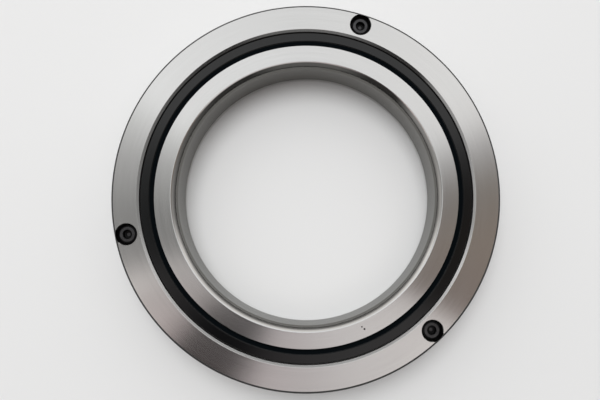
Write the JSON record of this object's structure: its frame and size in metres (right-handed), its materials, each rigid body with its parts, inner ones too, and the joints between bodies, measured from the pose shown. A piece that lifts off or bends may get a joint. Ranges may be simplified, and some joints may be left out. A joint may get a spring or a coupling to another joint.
{
  "type": "crossed roller bearing",
  "caption": "Flat crossed roller bearing with a solid inner ring, an outer ring split at mid width and clamped by sunk socket head screws, and a rubber seal on each side.",
  "frame": {"origin": "on the bearing axis, in the plane of the bottom faces", "axes": "+Z along the bearing axis, towards the face with the screw heads; +X and +Y in the plane of the rings"},
  "size_m": [0.12, 0.12, 0.016],
  "materials": {
    "ring_steel": "finely ground, turned lay round the axis",
    "roller_steel": "polished",
    "screw_black": "black oxide on alloy steel",
    "seal_rubber": "matt moulded black rubber",
    "cage_resin": "moulded resin"
  },
  "bodies": {
    "outer_ring": {"outer_ring_lower": "ring_steel", "outer_ring_upper": "ring_steel", "seal_lower": "seal_rubber", "seal_upper": "seal_rubber", "clamp_screw_1": "screw_black", "clamp_screw_2": "screw_black", "clamp_screw_3": "screw_black"},
    "inner_ring": {"inner_ring": "ring_steel"},
    "cage": {"roller_cage": "cage_resin"},
    "roller_01": {"roller_01": "roller_steel"},
    "roller_02": {"roller_02": "roller_steel"},
    "roller_03": {"roller_03": "roller_steel"},
    "roller_04": {"roller_04": "roller_steel"},
    "roller_05": {"roller_05": "roller_steel"},
    "roller_06": {"roller_06": "roller_steel"},
    "roller_07": {"roller_07": "roller_steel"},
    "roller_08": {"roller_08": "roller_steel"},
    "roller_09": {"roller_09": "roller_steel"},
    "roller_10": {"roller_10": "roller_steel"},
    "roller_11": {"roller_11": "roller_steel"},
    "roller_12": {"roller_12": "roller_steel"},
    "roller_13": {"roller_13": "roller_steel"},
    "roller_14": {"roller_14": "roller_steel"},
    "roller_15": {"roller_15": "roller_steel"},
    "roller_16": {"roller_16": "roller_steel"},
    "roller_17": {"roller_17": "roller_steel"},
    "roller_18": {"roller_18": "roller_steel"},
    "roller_19": {"roller_19": "roller_steel"},
    "roller_20": {"roller_20": "roller_steel"},
    "roller_21": {"roller_21": "roller_steel"},
    "roller_22": {"roller_22": "roller_steel"},
    "roller_23": {"roller_23": "roller_steel"},
    "roller_24": {"roller_24": "roller_steel"},
    "roller_25": {"roller_25": "roller_steel"},
    "roller_26": {"roller_26": "roller_steel"},
    "roller_27": {"roller_27": "roller_steel"},
    "roller_28": {"roller_28": "roller_steel"},
    "roller_29": {"roller_29": "roller_steel"},
    "roller_30": {"roller_30": "roller_steel"},
    "roller_31": {"roller_31": "roller_steel"},
    "roller_32": {"roller_32": "roller_steel"},
    "roller_33": {"roller_33": "roller_steel"},
    "roller_34": {"roller_34": "roller_steel"}
  },
  "joints": [
    {"name": "inner_ring_spin", "type": "hinge", "parent": "outer_ring", "child": "inner_ring", "pos_m": [0, 0, 0.008], "axis": [0, 0, 1], "continuous": true},
    {"name": "cage_spin", "type": "hinge", "parent": "outer_ring", "child": "cage", "pos_m": [0, 0, 0.008], "axis": [0, 0, 1], "continuous": true},
    {"name": "roller_01_spin", "type": "hinge", "parent": "cage", "child": "roller_01", "pos_m": [0.049, 0, 0.008], "axis": [0.7071, 0, 0.7071], "continuous": true},
    {"name": "roller_02_spin", "type": "hinge", "parent": "cage", "child": "roller_02", "pos_m": [0.04817, 0.009, 0.008], "axis": [-0.6951, -0.1299, 0.7071], "continuous": true},
    {"name": "roller_03_spin", "type": "hinge", "parent": "cage", "child": "roller_03", "pos_m": [0.04569, 0.0177, 0.008], "axis": [0.6594, 0.2554, 0.7071], "continuous": true},
    {"name": "roller_04_spin", "type": "hinge", "parent": "cage", "child": "roller_04", "pos_m": [0.04166, 0.0258, 0.008], "axis": [-0.6012, -0.3722, 0.7071], "continuous": true},
    {"name": "roller_05_spin", "type": "hinge", "parent": "cage", "child": "roller_05", "pos_m": [0.03621, 0.03301, 0.008], "axis": [0.5226, 0.4764, 0.7071], "continuous": true},
    {"name": "roller_06_spin", "type": "hinge", "parent": "cage", "child": "roller_06", "pos_m": [0.02953, 0.0391, 0.008], "axis": [-0.4261, -0.5643, 0.7071], "continuous": true},
    {"name": "roller_07_spin", "type": "hinge", "parent": "cage", "child": "roller_07", "pos_m": [0.02184, 0.04386, 0.008], "axis": [0.3152, 0.633, 0.7071], "continuous": true},
    {"name": "roller_08_spin", "type": "hinge", "parent": "cage", "child": "roller_08", "pos_m": [0.01341, 0.04713, 0.008], "axis": [-0.1935, -0.6801, 0.7071], "continuous": true},
    {"name": "roller_09_spin", "type": "hinge", "parent": "cage", "child": "roller_09", "pos_m": [0.00452, 0.04879, 0.008], "axis": [0.0652, 0.7041, 0.7071], "continuous": true},
    {"name": "roller_10_spin", "type": "hinge", "parent": "cage", "child": "roller_10", "pos_m": [-0.00452, 0.04879, 0.008], "axis": [0.0652, -0.7041, 0.7071], "continuous": true},
    {"name": "roller_11_spin", "type": "hinge", "parent": "cage", "child": "roller_11", "pos_m": [-0.01341, 0.04713, 0.008], "axis": [-0.1935, 0.6801, 0.7071], "continuous": true},
    {"name": "roller_12_spin", "type": "hinge", "parent": "cage", "child": "roller_12", "pos_m": [-0.02184, 0.04386, 0.008], "axis": [0.3152, -0.633, 0.7071], "continuous": true},
    {"name": "roller_13_spin", "type": "hinge", "parent": "cage", "child": "roller_13", "pos_m": [-0.02953, 0.0391, 0.008], "axis": [-0.4261, 0.5643, 0.7071], "continuous": true},
    {"name": "roller_14_spin", "type": "hinge", "parent": "cage", "child": "roller_14", "pos_m": [-0.03621, 0.03301, 0.008], "axis": [0.5226, -0.4764, 0.7071], "continuous": true},
    {"name": "roller_15_spin", "type": "hinge", "parent": "cage", "child": "roller_15", "pos_m": [-0.04166, 0.0258, 0.008], "axis": [-0.6012, 0.3722, 0.7071], "continuous": true},
    {"name": "roller_16_spin", "type": "hinge", "parent": "cage", "child": "roller_16", "pos_m": [-0.04569, 0.0177, 0.008], "axis": [0.6594, -0.2554, 0.7071], "continuous": true},
    {"name": "roller_17_spin", "type": "hinge", "parent": "cage", "child": "roller_17", "pos_m": [-0.04817, 0.009, 0.008], "axis": [-0.6951, 0.1299, 0.7071], "continuous": true},
    {"name": "roller_18_spin", "type": "hinge", "parent": "cage", "child": "roller_18", "pos_m": [-0.049, 0, 0.008], "axis": [0.7071, 0, 0.7071], "continuous": true},
    {"name": "roller_19_spin", "type": "hinge", "parent": "cage", "child": "roller_19", "pos_m": [-0.04817, -0.009, 0.008], "axis": [-0.6951, -0.1299, 0.7071], "continuous": true},
    {"name": "roller_20_spin", "type": "hinge", "parent": "cage", "child": "roller_20", "pos_m": [-0.04569, -0.0177, 0.008], "axis": [0.6594, 0.2554, 0.7071], "continuous": true},
    {"name": "roller_21_spin", "type": "hinge", "parent": "cage", "child": "roller_21", "pos_m": [-0.04166, -0.0258, 0.008], "axis": [-0.6012, -0.3722, 0.7071], "continuous": true},
    {"name": "roller_22_spin", "type": "hinge", "parent": "cage", "child": "roller_22", "pos_m": [-0.03621, -0.03301, 0.008], "axis": [0.5226, 0.4764, 0.7071], "continuous": true},
    {"name": "roller_23_spin", "type": "hinge", "parent": "cage", "child": "roller_23", "pos_m": [-0.02953, -0.0391, 0.008], "axis": [-0.4261, -0.5643, 0.7071], "continuous": true},
    {"name": "roller_24_spin", "type": "hinge", "parent": "cage", "child": "roller_24", "pos_m": [-0.02184, -0.04386, 0.008], "axis": [0.3152, 0.633, 0.7071], "continuous": true},
    {"name": "roller_25_spin", "type": "hinge", "parent": "cage", "child": "roller_25", "pos_m": [-0.01341, -0.04713, 0.008], "axis": [-0.1935, -0.6801, 0.7071], "continuous": true},
    {"name": "roller_26_spin", "type": "hinge", "parent": "cage", "child": "roller_26", "pos_m": [-0.00452, -0.04879, 0.008], "axis": [0.0652, 0.7041, 0.7071], "continuous": true},
    {"name": "roller_27_spin", "type": "hinge", "parent": "cage", "child": "roller_27", "pos_m": [0.00452, -0.04879, 0.008], "axis": [0.0652, -0.7041, 0.7071], "continuous": true},
    {"name": "roller_28_spin", "type": "hinge", "parent": "cage", "child": "roller_28", "pos_m": [0.01341, -0.04713, 0.008], "axis": [-0.1935, 0.6801, 0.7071], "continuous": true},
    {"name": "roller_29_spin", "type": "hinge", "parent": "cage", "child": "roller_29", "pos_m": [0.02184, -0.04386, 0.008], "axis": [0.3152, -0.633, 0.7071], "continuous": true},
    {"name": "roller_30_spin", "type": "hinge", "parent": "cage", "child": "roller_30", "pos_m": [0.02953, -0.0391, 0.008], "axis": [-0.4261, 0.5643, 0.7071], "continuous": true},
    {"name": "roller_31_spin", "type": "hinge", "parent": "cage", "child": "roller_31", "pos_m": [0.03621, -0.03301, 0.008], "axis": [0.5226, -0.4764, 0.7071], "continuous": true},
    {"name": "roller_32_spin", "type": "hinge", "parent": "cage", "child": "roller_32", "pos_m": [0.04166, -0.0258, 0.008], "axis": [-0.6012, 0.3722, 0.7071], "continuous": true},
    {"name": "roller_33_spin", "type": "hinge", "parent": "cage", "child": "roller_33", "pos_m": [0.04569, -0.0177, 0.008], "axis": [0.6594, -0.2554, 0.7071], "continuous": true},
    {"name": "roller_34_spin", "type": "hinge", "parent": "cage", "child": "roller_34", "pos_m": [0.04817, -0.009, 0.008], "axis": [-0.6951, 0.1299, 0.7071], "continuous": true}
  ],
  "couplings": [
    {"joint": "cage_spin", "follows": "inner_ring_spin", "ratio": 0.47475},
    {"joint": "roller_01_spin", "follows": "inner_ring_spin", "ratio": -6.9821},
    {"joint": "roller_02_spin", "follows": "inner_ring_spin", "ratio": -6.9821},
    {"joint": "roller_03_spin", "follows": "inner_ring_spin", "ratio": -6.9821},
    {"joint": "roller_04_spin", "follows": "inner_ring_spin", "ratio": -6.9821},
    {"joint": "roller_05_spin", "follows": "inner_ring_spin", "ratio": -6.9821},
    {"joint": "roller_06_spin", "follows": "inner_ring_spin", "ratio": -6.9821},
    {"joint": "roller_07_spin", "follows": "inner_ring_spin", "ratio": -6.9821},
    {"joint": "roller_08_spin", "follows": "inner_ring_spin", "ratio": -6.9821},
    {"joint": "roller_09_spin", "follows": "inner_ring_spin", "ratio": -6.9821},
    {"joint": "roller_10_spin", "follows": "inner_ring_spin", "ratio": -6.9821},
    {"joint": "roller_11_spin", "follows": "inner_ring_spin", "ratio": -6.9821},
    {"joint": "roller_12_spin", "follows": "inner_ring_spin", "ratio": -6.9821},
    {"joint": "roller_13_spin", "follows": "inner_ring_spin", "ratio": -6.9821},
    {"joint": "roller_14_spin", "follows": "inner_ring_spin", "ratio": -6.9821},
    {"joint": "roller_15_spin", "follows": "inner_ring_spin", "ratio": -6.9821},
    {"joint": "roller_16_spin", "follows": "inner_ring_spin", "ratio": -6.9821},
    {"joint": "roller_17_spin", "follows": "inner_ring_spin", "ratio": -6.9821},
    {"joint": "roller_18_spin", "follows": "inner_ring_spin", "ratio": -6.9821},
    {"joint": "roller_19_spin", "follows": "inner_ring_spin", "ratio": -6.9821},
    {"joint": "roller_20_spin", "follows": "inner_ring_spin", "ratio": -6.9821},
    {"joint": "roller_21_spin", "follows": "inner_ring_spin", "ratio": -6.9821},
    {"joint": "roller_22_spin", "follows": "inner_ring_spin", "ratio": -6.9821},
    {"joint": "roller_23_spin", "follows": "inner_ring_spin", "ratio": -6.9821},
    {"joint": "roller_24_spin", "follows": "inner_ring_spin", "ratio": -6.9821},
    {"joint": "roller_25_spin", "follows": "inner_ring_spin", "ratio": -6.9821},
    {"joint": "roller_26_spin", "follows": "inner_ring_spin", "ratio": -6.9821},
    {"joint": "roller_27_spin", "follows": "inner_ring_spin", "ratio": -6.9821},
    {"joint": "roller_28_spin", "follows": "inner_ring_spin", "ratio": -6.9821},
    {"joint": "roller_29_spin", "follows": "inner_ring_spin", "ratio": -6.9821},
    {"joint": "roller_30_spin", "follows": "inner_ring_spin", "ratio": -6.9821},
    {"joint": "roller_31_spin", "follows": "inner_ring_spin", "ratio": -6.9821},
    {"joint": "roller_32_spin", "follows": "inner_ring_spin", "ratio": -6.9821},
    {"joint": "roller_33_spin", "follows": "inner_ring_spin", "ratio": -6.9821},
    {"joint": "roller_34_spin", "follows": "inner_ring_spin", "ratio": -6.9821}
  ]
}
